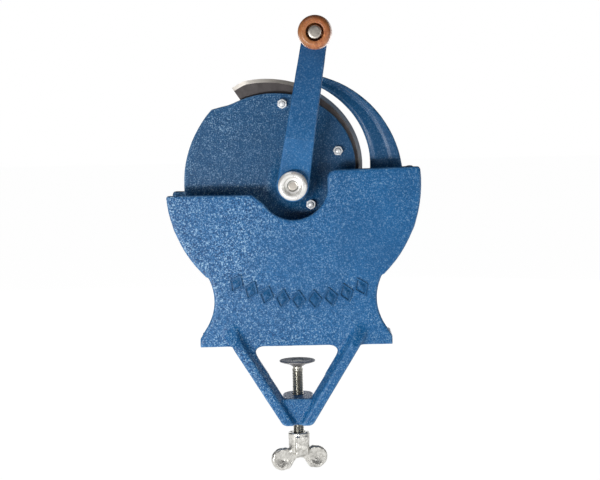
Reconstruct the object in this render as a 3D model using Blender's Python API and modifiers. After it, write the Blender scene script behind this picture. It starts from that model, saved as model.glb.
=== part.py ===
"""Hand-cranked table-clamp slicer.

Sizes are in millimetres and are turned into metres by MM. The origin lies on the sole of the foot, on the
clamp screw's axis. +Z is up and -Y is the front, the crank's side. The shaft runs along Y above the origin.
Angles on the disc are in degrees, counter-clockwise from +X as seen from the front.
"""

import math

import bmesh
import bpy
from mathutils import Matrix, Vector

MM = 0.001
GAP = 0.3                      # between pieces that touch
ARC_STEP = 5.0                 # degrees between points of an arc

# Shaft and disc
HUB_Z = 146.0
DISC_R = 100.0
DISC_FRONT = 2.0
DISC_T = 6.0
DISC_BACK = DISC_FRONT + DISC_T
KNIFE_T = 3.0
KNIFE_FRONT = DISC_BACK + GAP
KNIFE_BACK = KNIFE_FRONT + KNIFE_T
KNIFE_TIP_R = 103.0
SHAFT_R = 6.0
BOSS_R = 13.0
BOSS_FRONT = -20.0
SLOT_START = -72.0             # lower closed end of the spiral slot
SLOT_MOUTH = 124.0             # open end on the body's side
CRESCENT_TIP = 84.0

# Front casting
SHIELD_R = 115.0
SHIELD_FRONT = -24.0
SHIELD_T = 6.0
SHIELD_BACK = SHIELD_FRONT + SHIELD_T
SHIELD_LEFT_TOP = -8.0         # heights of the top edges above the hub
SHIELD_RIGHT_TOP = 14.0
NOTCH_R = 31.5
FOOT_HALF = 87.0
FOOT_BACK = 28.0
FOOT_T = 8.0
RIB_FRONT = -33.0
RIB_BACK = -19.0
RIB_W = 14.0
RIB_LEAN = math.radians(31.5)
RIB_TOP = (56.9, 12.6)         # centre of the right rib's round upper end
LUG_HALF = 13.9
LUG_BOTTOM = -72.2
LUG_TOP = -48.2
LUG_FRONT = -26.5
LUG_CENTRE_Y = 5.0             # of its round back
PILLAR_R = 4.6
PILLAR_PCR = 109.0
PILLAR_ANGLES = (200.0, 232.0, 308.0, 340.0)
BOLT_R = 2.5
BOLT_HOLE_R = 2.8

# Rear casting
HOUSING_FRONT = 16.0
HOUSING_T = 6.0
HOUSING_BACK = HOUSING_FRONT + HOUSING_T
RIM_R = 112.0
RIM_T = 6.0
RIM_BACK = 36.0
RIM_LEFT_END = -7.0            # heights of the rim's ends above the hub
RIM_RIGHT_END = 15.0
STIFFENER_ANGLES = (180.0, 226.0, 270.0)
STIFFENER_DROP = -11.0         # of the level one, below the hub
STIFFENER_BACK = 32.0
BOLT_LUG_R = 7.5
PLATE_SCREW_HOLE_R = 2.3
BEARING_FRONT = 14.0
BEARING_BACK = 60.0
BEARING_R = 17.0
BUSH_R = 8.0
BUSH_BORE = SHAFT_R + 0.1
THROAT = (36.0, 84.0, -42.0, -4.0)      # x low, x high, z low, z high about the hub
TROUGH_BACK = 112.0
TROUGH_WALL = 3.0
TROUGH_TOP = 2.0

# Crank
ARM_LENGTH = 135.5
ARM_TILT = math.radians(9.7)   # clockwise from upright at rest
ARM_HUB_R = 14.5
ARM_KINK = 42.0
ARM_KINK_HALF = 13.25
ARM_END_R = 11.2
ARM_HUB_FRONT = -36.0
ARM_HUB_BACK = -22.0
ARM_FRONT = -46.0
ARM_T = 10.0
SQUARE = 8.8                   # across flats of the shaft's crank seat
GRIP_R = 14.5
GRIP_FRONT = -132.0
SPINDLE_R = 3.0

# Clamp
SCREW_R = 5.0
PAD_R = 16.5
PAD_TOP = -16.5
PAD_BOTTOM = -22.0
NECK_R = 3.3                   # of the screw, where it turns in the pad
SCREW_BOTTOM = -99.0
WING_TOP = -83.6
WING_COLLAR_R = 9.8
WING_SPAN = 16.3               # from the screw's axis to the middle of an ear
WING_EAR_R = 10.3
WING_EAR_Z = -108.0
WING_T = 6.4
WING_PIN_R = 1.6
WING_PIN_Z = -92.0
WING_TURN = math.radians(17.0)

BLUE = (0.090, 0.190, 0.340)
STEEL = (0.55, 0.55, 0.54)
DARK_STEEL = (0.10, 0.10, 0.11)
WOOD = (0.42, 0.19, 0.08)


# ---------------------------------------------------------------- scene helpers

def clear_scene():
    for obj in list(bpy.data.objects):
        bpy.data.objects.remove(obj, do_unlink=True)
    for name in ("table_slicer", "cutters"):
        old = bpy.data.collections.get(name)
        if old:
            bpy.data.collections.remove(old)
        bpy.context.scene.collection.children.link(bpy.data.collections.new(name))


def link(obj):
    bpy.data.collections["table_slicer"].objects.link(obj)
    return obj


def to_mesh(obj):
    """Replace an object by the mesh it evaluates to, with its caps welded and its faces outward."""
    graph = bpy.context.evaluated_depsgraph_get()
    mesh = bpy.data.meshes.new_from_object(obj.evaluated_get(graph))
    matrix = obj.matrix_world.copy()
    bpy.data.objects.remove(obj, do_unlink=True)
    shape = bmesh.new()
    shape.from_mesh(mesh)
    bmesh.ops.remove_doubles(shape, verts=shape.verts, dist=0.00002)
    bmesh.ops.dissolve_limit(shape, angle_limit=0.0005, verts=shape.verts, edges=shape.edges)
    bmesh.ops.recalc_face_normals(shape, faces=shape.faces)
    shape.to_mesh(mesh)
    shape.free()
    mesh.transform(matrix)
    solid = link(bpy.data.objects.new("solid", mesh))
    bpy.context.view_layer.update()
    return solid


def combine(solid, tool, operation):
    """Boolean a tool into a solid and remove the tool."""
    modifier = solid.modifiers.new("combine", "BOOLEAN")
    modifier.object = tool
    modifier.operation = operation
    modifier.solver = "EXACT"
    bpy.context.view_layer.update()
    result = to_mesh(solid)
    bpy.data.objects.remove(tool, do_unlink=True)
    return result


def cut(solid, *tools):
    for tool in tools:
        solid = combine(solid, tool, "DIFFERENCE")
    return solid


def join(solid, *tools):
    for tool in tools:
        solid = combine(solid, tool, "UNION")
    return solid


def bevel(solid, width, segments=1, angle=40.0):
    modifier = solid.modifiers.new("edges", "BEVEL")
    modifier.width = width * MM
    modifier.segments = segments
    modifier.limit_method = "ANGLE"
    modifier.angle_limit = math.radians(angle)
    bpy.context.view_layer.update()
    return to_mesh(solid)


def finish(solid, name, colour, roughness, metallic, pivot=(0.0, 0.0, 0.0)):
    """Name a piece, give it its material, and put its origin on its pivot."""
    solid.name = name
    solid.data.name = name
    pivot = Vector(pivot) * MM
    solid.data.transform(Matrix.Translation(-pivot))
    solid.location = pivot
    material = bpy.data.materials.new(name)
    material.use_nodes = True
    shader = material.node_tree.nodes["Principled BSDF"]
    shader.inputs["Base Color"].default_value = (*colour, 1.0)
    shader.inputs["Roughness"].default_value = roughness
    shader.inputs["Metallic"].default_value = metallic
    solid.data.materials.clear()
    solid.data.materials.append(material)
    solid.data.shade_smooth()
    solid.data.set_sharp_from_angle(angle=math.radians(35))
    return solid


def painted(solid, name, pivot=(0.0, 0.0, 0.0)):
    return finish(solid, name, BLUE, 0.4, 0.2, pivot)


def metal(solid, name, pivot=(0.0, 0.0, 0.0)):
    return finish(solid, name, STEEL, 0.3, 1.0, pivot)


# ---------------------------------------------------------------- shape helpers

def polar(radius, degrees, centre=(0.0, 0.0)):
    turn = math.radians(degrees)
    return (centre[0] + radius * math.cos(turn), centre[1] + radius * math.sin(turn))


def arc(radius, first, last, centre=(0.0, 0.0), step=ARC_STEP):
    """Points of an arc from one angle to another, both ends included."""
    count = max(2, math.ceil(abs(last - first) / step) + 1)
    return [polar(radius, first + (last - first) * i / (count - 1), centre) for i in range(count)]


def mirrored(points):
    return [(-x, z) for x, z in reversed(points)]


def plate(outline, front, back, centre=(0.0, 0.0), holes=()):
    """A flat outline in X and Z, from one Y to another. A hole is an outline inside the first."""
    curve = bpy.data.curves.new("plate", "CURVE")
    curve.dimensions = "2D"
    curve.fill_mode = "BOTH"
    curve.extrude = (back - front) / 2 * MM
    for points in (outline, *holes):
        spline = curve.splines.new("POLY")
        spline.points.add(len(points) - 1)
        spline.use_cyclic_u = True
        for point, (x, z) in zip(spline.points, points):
            point.co = ((x + centre[0]) * MM, (z + centre[1]) * MM, 0.0, 1.0)
    obj = link(bpy.data.objects.new("plate", curve))
    middle = Matrix.Translation((0.0, (front + back) / 2 * MM, 0.0))
    obj.matrix_world = middle @ Matrix.Rotation(math.pi / 2, 4, "X")
    bpy.context.view_layer.update()
    return to_mesh(obj)


def slab(outline, low, high):
    """A flat outline in X and Y, from one Z to another."""
    solid = plate(outline, -high, -low)
    solid.data.transform(Matrix.Rotation(-math.pi / 2, 4, "X"))
    return solid


def box(low, high):
    shape = bmesh.new()
    bmesh.ops.create_cube(shape, size=1.0)
    size = [(b - a) * MM for a, b in zip(low, high)]
    middle = [(a + b) / 2 * MM for a, b in zip(low, high)]
    bmesh.ops.scale(shape, vec=size, verts=shape.verts)
    bmesh.ops.translate(shape, vec=middle, verts=shape.verts)
    mesh = bpy.data.meshes.new("box")
    shape.to_mesh(mesh)
    shape.free()
    return link(bpy.data.objects.new("box", mesh))


def rod(radius, low, high, axis="Y", centre=(0.0, 0.0), sides=32, turn=0.0):
    """A cylinder, or a prism where sides is small. Centre is its place on the other two axes."""
    shape = bmesh.new()
    bmesh.ops.create_cone(shape, cap_ends=True, segments=sides, radius1=radius * MM, radius2=radius * MM,
                          depth=(high - low) * MM)
    bmesh.ops.rotate(shape, matrix=Matrix.Rotation(turn, 3, "Z"), verts=shape.verts)
    bmesh.ops.translate(shape, vec=(0.0, 0.0, (low + high) / 2 * MM), verts=shape.verts)
    mesh = bpy.data.meshes.new("rod")
    shape.to_mesh(mesh)
    shape.free()
    return place(link(bpy.data.objects.new("rod", mesh)), axis, centre)


def turned(profile, axis="Z", centre=(0.0, 0.0), steps=32):
    """A profile of (radius, height) turned about an axis. It runs down its outer side."""
    mesh = bpy.data.meshes.new("turned")
    corners = [(r * MM, 0.0, h * MM) for r, h in profile]
    on_axis = profile[0][0] == 0.0
    edges = [(i, i + 1) for i in range(len(corners) - 1)]
    if not on_axis:
        edges.append((len(corners) - 1, 0))
    mesh.from_pydata(corners, edges, [])
    obj = link(bpy.data.objects.new("turned", mesh))
    screw = obj.modifiers.new("turn", "SCREW")
    screw.steps = steps
    screw.render_steps = steps
    screw.use_merge_vertices = True
    screw.merge_threshold = 0.00001
    bpy.context.view_layer.update()
    return place(to_mesh(obj), axis, centre)


def place(solid, axis, centre):
    """Stand a solid that was made along Z on its axis. Heights stay as the coordinate on that axis."""
    turns = {
        "X": Matrix.Rotation(math.pi / 2, 4, "Y"),
        "Y": Matrix.Rotation(-math.pi / 2, 4, "X"),
        "Z": Matrix.Identity(4),
    }
    shifts = {
        "X": (0.0, centre[0] * MM, centre[1] * MM),
        "Y": (centre[0] * MM, 0.0, centre[1] * MM),
        "Z": (centre[0] * MM, centre[1] * MM, 0.0),
    }
    solid.data.transform(Matrix.Translation(shifts[axis]) @ turns[axis])
    return solid


def ring(outer, inner, low, high, axis="Y", centre=(0.0, 0.0), steps=32):
    return turned([(outer, high), (outer, low), (inner, low), (inner, high)], axis, centre, steps)


def hex_nut(flats, bore, low, high, centre, turn=0.0):
    nut = rod(flats / math.sqrt(3), low, high, "Y", centre, sides=6, turn=turn)
    return cut(nut, rod(bore, low - 1, high + 1, "Y", centre, sides=20))


def about_hub(x, z):
    return (x, HUB_Z + z)


def screw_places():
    """The knife's three screws on the disc, as radius and angle."""
    places = ((72.7, 97.0), (50.0, 35.0), (25.0, -52.0))
    return [polar(radius, turn, (0.0, HUB_Z)) for radius, turn in places]


# ---------------------------------------------------------------- front casting

def shield_outline():
    """The right half of the outline runs from the notch to the foot, the left half back up."""
    right_start = math.degrees(math.asin(SHIELD_RIGHT_TOP / SHIELD_R))
    left_end = 180.0 - math.degrees(math.asin(SHIELD_LEFT_TOP / SHIELD_R))
    waist = arc(46.0, 153.0, 221.0, (119.5, -103.5), 8.0)
    corner = arc(8.0, 60.0, 20.0, (FOOT_HALF - 8.5, -HUB_Z + 5.0), 20.0)
    right_side = waist + corner + [(FOOT_HALF - 0.5, -HUB_Z + 3.0)]
    notch_shoulder = arc(8.0, 180.0, 95.0, (38.5, SHIELD_RIGHT_TOP - 9.0), 17.0)
    points = arc(NOTCH_R, 215.0, 345.0, step=8.0)
    points += notch_shoulder
    points += arc(SHIELD_R, right_start, -46.0)
    points += right_side
    points += mirrored(right_side)
    points += arc(SHIELD_R, 226.0, left_end)
    points += [(-37.0, SHIELD_LEFT_TOP), (-33.0, SHIELD_LEFT_TOP - 2.0)]
    return points


def rib_outline():
    """Both ribs as one V, from the round upper ends to the flat bottom."""
    along = (math.sin(RIB_LEAN), math.cos(RIB_LEAN))
    side = (along[1], -along[0])
    start = math.degrees(math.atan2(side[1], side[0]))
    cap = arc(RIB_W / 2, start, start + 180.0, RIB_TOP, 22.0)
    inner = cap[-1]
    apex = inner[1] - inner[0] * along[1] / along[0]
    corner = cap[0][0] - (cap[0][1] - LUG_BOTTOM - 2.0) * along[0] / along[1]
    right = [(corner - 2.0, LUG_BOTTOM), (corner, LUG_BOTTOM + 2.0)] + cap
    return right + [(0.0, apex)] + mirrored(right)


def front_frame():
    frame = plate(shield_outline(), SHIELD_FRONT, SHIELD_BACK, (0.0, HUB_Z))
    frame = bevel(frame, 1.0)
    for turn in PILLAR_ANGLES:
        place_ = polar(PILLAR_PCR, turn, (0.0, HUB_Z))
        pillar = rod(PILLAR_R, SHIELD_BACK - 2.0, HOUSING_FRONT - GAP, "Y", place_, sides=20)
        frame = join(frame, cut(pillar, rod(BOLT_HOLE_R, 0.0, HOUSING_FRONT + 2.0, "Y", place_, sides=16)))
    foot = box((-FOOT_HALF, SHIELD_FRONT - 0.5, 0.0), (FOOT_HALF, FOOT_BACK, FOOT_T))
    ribs = bevel(plate(rib_outline(), RIB_FRONT, RIB_BACK), 2.0)
    lug_outline = arc(LUG_HALF, 0.0, 180.0, (0.0, LUG_CENTRE_Y), 12.0)
    lug_outline += [(-LUG_HALF, LUG_FRONT), (LUG_HALF, LUG_FRONT)]
    lug = slab(lug_outline, LUG_BOTTOM + 1.3, LUG_TOP)
    lug = cut(lug, rod(SCREW_R + 0.4, LUG_BOTTOM - 5.0, LUG_TOP + 5.0, "Z", sides=32))
    frame = join(frame, bevel(foot, 1.5), ribs, lug)
    painted(frame, "front_frame")


# ---------------------------------------------------------------- rear casting

def rear_housing():
    left_end = 180.0 - math.degrees(math.asin(RIM_LEFT_END / RIM_R))
    right_end = 360.0 + math.degrees(math.asin(RIM_RIGHT_END / RIM_R))
    rim = arc(RIM_R, left_end, right_end) + arc(RIM_R - RIM_T, right_end, left_end)
    right_pad = [(97.0, RIM_RIGHT_END), (97.0, -20.0), (106.0, -20.0), (108.0, RIM_RIGHT_END)]
    web = arc(RIM_R - 1.0, left_end, 365.0) + [(20.0, 5.0), (-20.0, RIM_LEFT_END)]
    housing = plate(web, HOUSING_FRONT, HOUSING_BACK, (0.0, HUB_Z))
    housing = join(housing, plate(rim, HOUSING_FRONT - 0.02, RIM_BACK, (0.0, HUB_Z)))
    housing = join(housing, plate(right_pad, HOUSING_FRONT + 0.5, RIM_BACK - 0.5, (0.0, HUB_Z)))
    for turn in STIFFENER_ANGLES:
        x, z = polar(RIM_R - RIM_T / 2, turn)
        length = math.hypot(x, z)
        stiffener = box((0.0, HOUSING_BACK - 2.0, -3.0), (length, STIFFENER_BACK, 3.0))
        drop = STIFFENER_DROP if turn == 180.0 else 0.0
        stiffener.data.transform(Matrix.Translation((0.0, 0.0, (HUB_Z + drop) * MM))
                                 @ Matrix.Rotation(-math.radians(turn), 4, "Y"))
        housing = join(housing, stiffener)
    housing = join(housing, rod(BEARING_R, BEARING_FRONT, BEARING_BACK, "Y", (0.0, HUB_Z), sides=40))
    for turn in PILLAR_ANGLES:
        x, z = polar(PILLAR_PCR, turn, (0.0, HUB_Z))
        housing = join(housing, rod(BOLT_LUG_R, HOUSING_FRONT + 0.2, RIM_BACK - 0.2, "Y", (x, z), sides=20))
        housing = cut(housing, rod(BOLT_HOLE_R, 0.0, RIM_BACK + 5.0, "Y", (x, z), sides=16))
    x_low, x_high, z_low, z_high = THROAT
    throat = box((x_low, 0.0, HUB_Z + z_low), (x_high, RIM_BACK + 5.0, HUB_Z + z_high))
    housing = cut(housing, throat, rod(BUSH_R + GAP, 0.0, BEARING_BACK + 5.0, "Y", (0.0, HUB_Z), sides=40))
    for x, z in throat_screw_places():
        hole = rod(PLATE_SCREW_HOLE_R, HOUSING_FRONT - 2.0, HOUSING_FRONT + 4.5, "Y", (x, z), sides=14)
        housing = cut(housing, hole)
    for x, z in trough_screw_places():
        hole = rod(PLATE_SCREW_HOLE_R, HOUSING_BACK - 4.5, HOUSING_BACK + 2.0, "Y", (x, z), sides=14)
        housing = cut(housing, hole)
    painted(housing, "rear_housing")


def throat_screw_places():
    return [about_hub(x, z) for x, z in ((31.5, -14.0), (31.5, -47.0), (89.0, -14.0), (89.0, -47.0))]


def trough_screw_places():
    return [about_hub(x, z) for x, z in ((27.5, -8.0), (27.5, -37.0), (44.0, -50.0), (76.0, -50.0))]


def throat_plate():
    """Steel counter edge round the feed opening, just behind the knife's path."""
    x_low, x_high, z_low, z_high = THROAT
    front = 12.9
    back = HOUSING_FRONT - GAP
    outline = [(28.0, -51.0), (93.0, -51.0), (93.0, 3.0), (28.0, 3.0)]
    hole = [(x_low, z_low), (x_high, z_low), (x_high, z_high), (x_low, z_high)]
    steel = plate(outline, front, back, (0.0, HUB_Z), [hole])
    sink = [(0.0, 17.0), (2.3, 17.0), (2.3, 15.2), (4.6, 12.8), (0.0, 12.8)]
    for index, (x, z) in enumerate(throat_screw_places(), 1):
        steel = cut(steel, turned(sink, "Y", (x, z), 20))
        screw = turned([(0.0, 20.0), (1.9, 20.0), (1.9, 15.2), (4.0, 13.0), (0.0, 13.0)], "Y", (x, z), 20)
        metal(screw, f"throat_plate_screw_{index}")
    finish(steel, "throat_plate", DARK_STEEL, 0.3, 1.0)


def feed_trough():
    """An open-topped trough with a flange on the housing's back."""
    x_low, x_high, z_low, z_high = THROAT
    wall = TROUGH_WALL
    flange_front = HOUSING_BACK + GAP
    flange_back = flange_front + wall
    section = [(x_low - wall, z_low - wall), (x_high + wall, z_low - wall),
               (x_high + wall, TROUGH_TOP), (x_high, TROUGH_TOP), (x_high, z_low),
               (x_low, z_low), (x_low, TROUGH_TOP), (x_low - wall, TROUGH_TOP)]
    flange = [(22.5, -54.5), (88.0, -54.5), (88.0, 3.0), (22.5, 3.0)]
    hole = [(x_low, z_low), (x_high, z_low), (x_high, z_high), (x_low, z_high)]
    trough = plate(flange, flange_front, flange_back, (0.0, HUB_Z), [hole])
    trough = join(trough, plate(section, flange_front + 1.0, TROUGH_BACK, (0.0, HUB_Z)))
    for index, (x, z) in enumerate(trough_screw_places(), 1):
        trough = cut(trough, rod(2.3, flange_front - 1.0, flange_back + 1.0, "Y", (x, z), sides=14))
        head = flange_back + GAP
        profile = [(0.0, head + 2.6), (2.4, head + 2.4), (3.6, head + 1.2), (3.6, head), (2.0, head),
                   (2.0, HOUSING_BACK - 4.0), (0.0, HOUSING_BACK - 4.0)]
        metal(turned(profile, "Y", (x, z), 20), f"trough_screw_{index}")
    painted(trough, "feed_trough")


def housing_bolts():
    head = RIM_BACK + GAP
    for index, turn in enumerate(PILLAR_ANGLES, 1):
        place_ = polar(PILLAR_PCR, turn, (0.0, HUB_Z))
        bolt = join(rod(8.0 / math.sqrt(3), head, head + 3.5, "Y", place_, sides=6),
                    rod(BOLT_R, 0.5, head + 1.0, "Y", place_, sides=16))
        metal(bolt, f"housing_bolt_{index}")


def shaft_bushes():
    hub = (0.0, HUB_Z)
    for name, front, back in (("shaft_bush_front", BEARING_FRONT + GAP, 30.0),
                              ("shaft_bush_rear", 44.0, BEARING_BACK - GAP)):
        finish(ring(BUSH_R, BUSH_BORE, front, back, "Y", hub, 48), name, (0.55, 0.36, 0.14), 0.35, 1.0)


# ---------------------------------------------------------------- disc and knife

def body_edge(turn):
    return 54.3 + 0.29 * turn


def crescent_edge(turn):
    return 68.0 + 0.298 * turn


def knife_edge(turn):
    return min(61.2 + 0.26 * turn + 0.0009 * turn * turn, KNIFE_TIP_R)


def spiral(radius, first, last, step=6.0):
    count = math.ceil(abs(last - first) / step) + 1
    turns = [first + (last - first) * i / (count - 1) for i in range(count)]
    return [polar(radius(turn), turn) for turn in turns]


def knife_disc():
    """A disc with a spiral slot that is open at the top, and a boss on its front."""
    hub = (0.0, HUB_Z)
    outline = arc(DISC_R, 137.0, 360.0 + CRESCENT_TIP)
    outline += spiral(crescent_edge, CRESCENT_TIP - 3.0, SLOT_START)
    outline += spiral(body_edge, SLOT_START, SLOT_MOUTH)
    outline += [polar(91.6, 127.5), polar(95.2, 131.6)]
    disc = bevel(plate(outline, DISC_FRONT, DISC_BACK, hub), 0.8, angle=50.0)
    disc = join(disc, rod(20.0, DISC_FRONT - 2.0, DISC_BACK - 1.0, "Y", hub, sides=40))
    disc = join(disc, rod(BOSS_R, BOSS_FRONT, 12.2, "Y", hub, sides=40))
    disc = cut(disc, rod(SHAFT_R + GAP, BOSS_FRONT - 5.0, 20.0, "Y", hub, sides=32))
    disc = cut(disc, rod(2.3, -20.0, 20.0, "X", (-9.0, HUB_Z), sides=16))
    for x, z in screw_places():
        disc = cut(disc, rod(BOLT_HOLE_R, -5.0, 15.0, "Y", (x, z), sides=16))
    painted(disc, "knife_disc", (0.0, 0.0, HUB_Z))
    metal(rod(2.0, -12.6, 12.6, "X", (-9.0, HUB_Z), sides=16), "disc_pin", (0.0, 0.0, HUB_Z))


def sickle_knife():
    """A spiral blade on the disc's back, held by three countersunk screws with nuts on the front."""
    def inner(turn):
        return max(knife_edge(turn) - 33.0, 17.5)

    outline = spiral(knife_edge, -58.0, 122.0) + [polar(92.6, 125.0)] + spiral(inner, 122.0, -58.0, 10.0)
    blade = plate(outline, KNIFE_FRONT, KNIFE_BACK, (0.0, HUB_Z))
    pivot = (0.0, 0.0, HUB_Z)
    for index, (x, z) in enumerate(screw_places(), 1):
        sink = [(0.0, 12.0), (5.2, 12.0), (5.2, 11.4), (BOLT_HOLE_R, 9.0), (BOLT_HOLE_R, 5.0), (0.0, 5.0)]
        blade = cut(blade, turned(sink, "Y", (x, z), 20))
        profile = [(0.0, 11.2), (4.7, 11.2), (BOLT_R, 9.0), (BOLT_R, -4.0), (0.0, -4.0)]
        metal(turned(profile, "Y", (x, z), 20), f"knife_screw_{index}", pivot)
        nut = hex_nut(8.0, BOLT_HOLE_R, DISC_FRONT - GAP - 4.0, DISC_FRONT - GAP, (x, z), turn=0.3 * index)
        metal(nut, f"knife_nut_{index}", pivot)
    finish(blade, "sickle_knife", DARK_STEEL, 0.3, 1.0, pivot)


def drive_shaft():
    hub = (0.0, HUB_Z)
    shaft = turned([(0.0, 72.0), (4.5, 72.0), (5.0, 71.5), (5.0, 62.0), (SHAFT_R, 62.0), (SHAFT_R, -21.7),
                    (4.2, -21.7), (4.2, -30.0), (0.0, -30.0)], "Y", hub, 48)
    seat = box((-SQUARE / 2, -36.1, HUB_Z - SQUARE / 2), (SQUARE / 2, -21.0, HUB_Z + SQUARE / 2))
    seat.data.transform(crank_turn())
    end = turned([(0.0, -30.0), (4.3, -30.0), (4.3, -41.0), (3.8, -41.5), (0.0, -41.5)], "Y", hub, 24)
    shaft = join(shaft, seat, end)
    shaft = cut(shaft, rod(2.3, -20.0, 20.0, "X", (-9.0, HUB_Z), sides=16))
    metal(shaft, "drive_shaft", (0.0, 0.0, HUB_Z))


def shaft_fittings():
    hub = (0.0, HUB_Z)
    pivot = (0.0, 0.0, HUB_Z)
    metal(ring(12.0, SHAFT_R + GAP, 12.5, 13.7, "Y", hub), "thrust_washer_front", pivot)
    metal(ring(12.0, SHAFT_R + GAP, BEARING_BACK + GAP, 61.7, "Y", hub), "thrust_washer_rear", pivot)
    metal(hex_nut(17.0, 5.3, 62.1, 70.0, hub), "shaft_nut", pivot)


# ---------------------------------------------------------------- crank

def crank_turn():
    """Turn something made upright to the crank's place at rest."""
    hub = Vector((0.0, 0.0, HUB_Z * MM))
    return Matrix.Translation(hub) @ Matrix.Rotation(ARM_TILT, 4, "Y") @ Matrix.Translation(-hub)


def grip_axis():
    return (ARM_LENGTH * math.sin(ARM_TILT), HUB_Z + ARM_LENGTH * math.cos(ARM_TILT))


def crank_arm():
    """The front outline crossed with the cranked side outline."""
    right = [(ARM_KINK_HALF, ARM_KINK), (ARM_END_R, ARM_LENGTH)]
    outline = arc(ARM_HUB_R, 180.0, 360.0, step=12.0) + right
    outline += arc(ARM_END_R, 0.0, 180.0, (0.0, ARM_LENGTH), 12.0) + [(-ARM_KINK_HALF, ARM_KINK)]
    arm = plate(outline, ARM_FRONT - 5.0, ARM_HUB_BACK + 5.0, (0.0, HUB_Z))
    top = ARM_LENGTH + ARM_END_R + 5.0
    side = [(-20.0, ARM_HUB_FRONT), (14.0, ARM_HUB_FRONT), (ARM_KINK, ARM_FRONT), (top, ARM_FRONT),
            (top, ARM_FRONT + ARM_T), (ARM_KINK + 5.0, ARM_FRONT + ARM_T), (17.0, -25.5),
            (15.2, ARM_HUB_BACK), (-20.0, ARM_HUB_BACK)]
    profile = plate([(y, s + HUB_Z) for s, y in side], -20.0, 20.0)
    profile.data.transform(Matrix.Rotation(math.pi / 2, 4, "Z"))
    arm = bevel(combine(arm, profile, "INTERSECT"), 2.2, 2)
    hole = SQUARE / 2 + GAP
    seat = box((-hole, ARM_HUB_FRONT - 5.0, HUB_Z - hole), (hole, ARM_HUB_BACK + 5.0, HUB_Z + hole))
    bore = rod(SPINDLE_R + GAP, ARM_FRONT - 5.0, ARM_FRONT + ARM_T + 5.0, "Y",
               (0.0, HUB_Z + ARM_LENGTH), sides=24)
    arm = cut(cut(arm, seat), bore)
    arm.data.transform(crank_turn())
    painted(arm, "crank_arm", (0.0, 0.0, HUB_Z))


def crank_collar():
    """Round nut with a recess, in which the shaft's end shows."""
    back = ARM_HUB_FRONT - GAP
    profile = [(11.0, back), (12.75, back - 1.5), (12.75, -41.8), (11.6, -43.0), (8.4, -43.0), (7.6, -40.4),
               (4.7, -40.4), (4.7, back)]
    metal(turned(profile, "Y", (0.0, HUB_Z), 40), "crank_collar", (0.0, 0.0, HUB_Z))


def handle():
    axis = grip_axis()
    pivot = (axis[0], 0.0, axis[1])
    back = ARM_FRONT - 1.8
    bore = SPINDLE_R + GAP
    grip = [(8.5, back), (10.5, back - 2.0), (11.2, back - 12.0), (13.4, back - 32.0), (GRIP_R, back - 55.0),
            (14.4, GRIP_FRONT + 10.0), (13.6, GRIP_FRONT + 4.5), (11.6, GRIP_FRONT + 1.2), (9.2, GRIP_FRONT),
            (7.4, GRIP_FRONT), (7.4, GRIP_FRONT + 8.0), (bore, GRIP_FRONT + 8.0), (bore, back)]
    finish(turned(grip, "Y", axis, 32), "grip", WOOD, 0.45, 0.0, pivot)
    head = GRIP_FRONT + 8.0 - GAP
    spindle = [(0.0, ARM_FRONT + ARM_T - 0.4), (SPINDLE_R, ARM_FRONT + ARM_T - 0.4), (SPINDLE_R, head),
               (6.0, head), (6.0, head - 5.0), (5.2, head - 6.0), (0.0, head - 6.4)]
    metal(turned(spindle, "Y", axis, 28), "handle_spindle", pivot)
    metal(ring(8.0, bore, back + GAP, ARM_FRONT - GAP, "Y", axis), "grip_washer", pivot)


# ---------------------------------------------------------------- clamp

def clamp_screw():
    """The screw, whose peened top end turns in the pad, and the pin that holds the wing on it."""
    neck_top = PAD_BOTTOM - GAP
    profile = [(0.0, PAD_TOP - 0.5), (4.2, PAD_TOP - 0.7), (4.6, PAD_TOP - 1.4), (NECK_R, PAD_TOP - 1.4),
               (NECK_R, neck_top), (SCREW_R - 0.8, neck_top), (SCREW_R - 0.8, neck_top - 2.5),
               (SCREW_R, neck_top - 2.8), (SCREW_R, SCREW_BOTTOM + 1.0), (SCREW_R - 0.8, SCREW_BOTTOM),
               (0.0, SCREW_BOTTOM)]
    pin_hole = rod(WING_PIN_R + GAP, -20.0, 20.0, "X", (0.0, WING_PIN_Z), sides=14)
    screw = cut(turned(profile, steps=32), pin_hole)
    screw.data.transform(Matrix.Rotation(WING_TURN, 4, "Z"))
    metal(screw, "clamp_screw")
    reach = WING_COLLAR_R - GAP
    pin = rod(WING_PIN_R, -reach, reach, "X", (0.0, WING_PIN_Z), sides=14)
    pin.data.transform(Matrix.Rotation(WING_TURN, 4, "Z"))
    metal(pin, "wing_pin")


def wing_handle():
    """A collar and two ears, drawn in the XZ plane and then turned."""
    profile = [(0.0, WING_TOP), (8.3, WING_TOP), (WING_COLLAR_R, WING_TOP - 1.2),
               (WING_COLLAR_R, -98.0), (8.0, -103.0), (4.0, -105.5), (0.0, -106.0)]
    collar = turned(profile, steps=32)
    half = arc(WING_EAR_R, -115.0, 112.0, (WING_SPAN, WING_EAR_Z), 15.0) + [(5.0, -99.0)]
    outline = half + mirrored(half) + [(0.0, -107.5)]
    wing = join(collar, bevel(plate(outline, -WING_T / 2, WING_T / 2), 1.2))
    wing = cut(wing, rod(SCREW_R + GAP, SCREW_BOTTOM - 0.5, WING_TOP + 5.0, "Z", sides=32))
    wing = cut(wing, rod(WING_PIN_R + GAP, -20.0, 20.0, "X", (0.0, WING_PIN_Z), sides=14))
    wing.data.transform(Matrix.Rotation(WING_TURN, 4, "Z"))
    metal(wing, "wing_handle")


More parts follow.
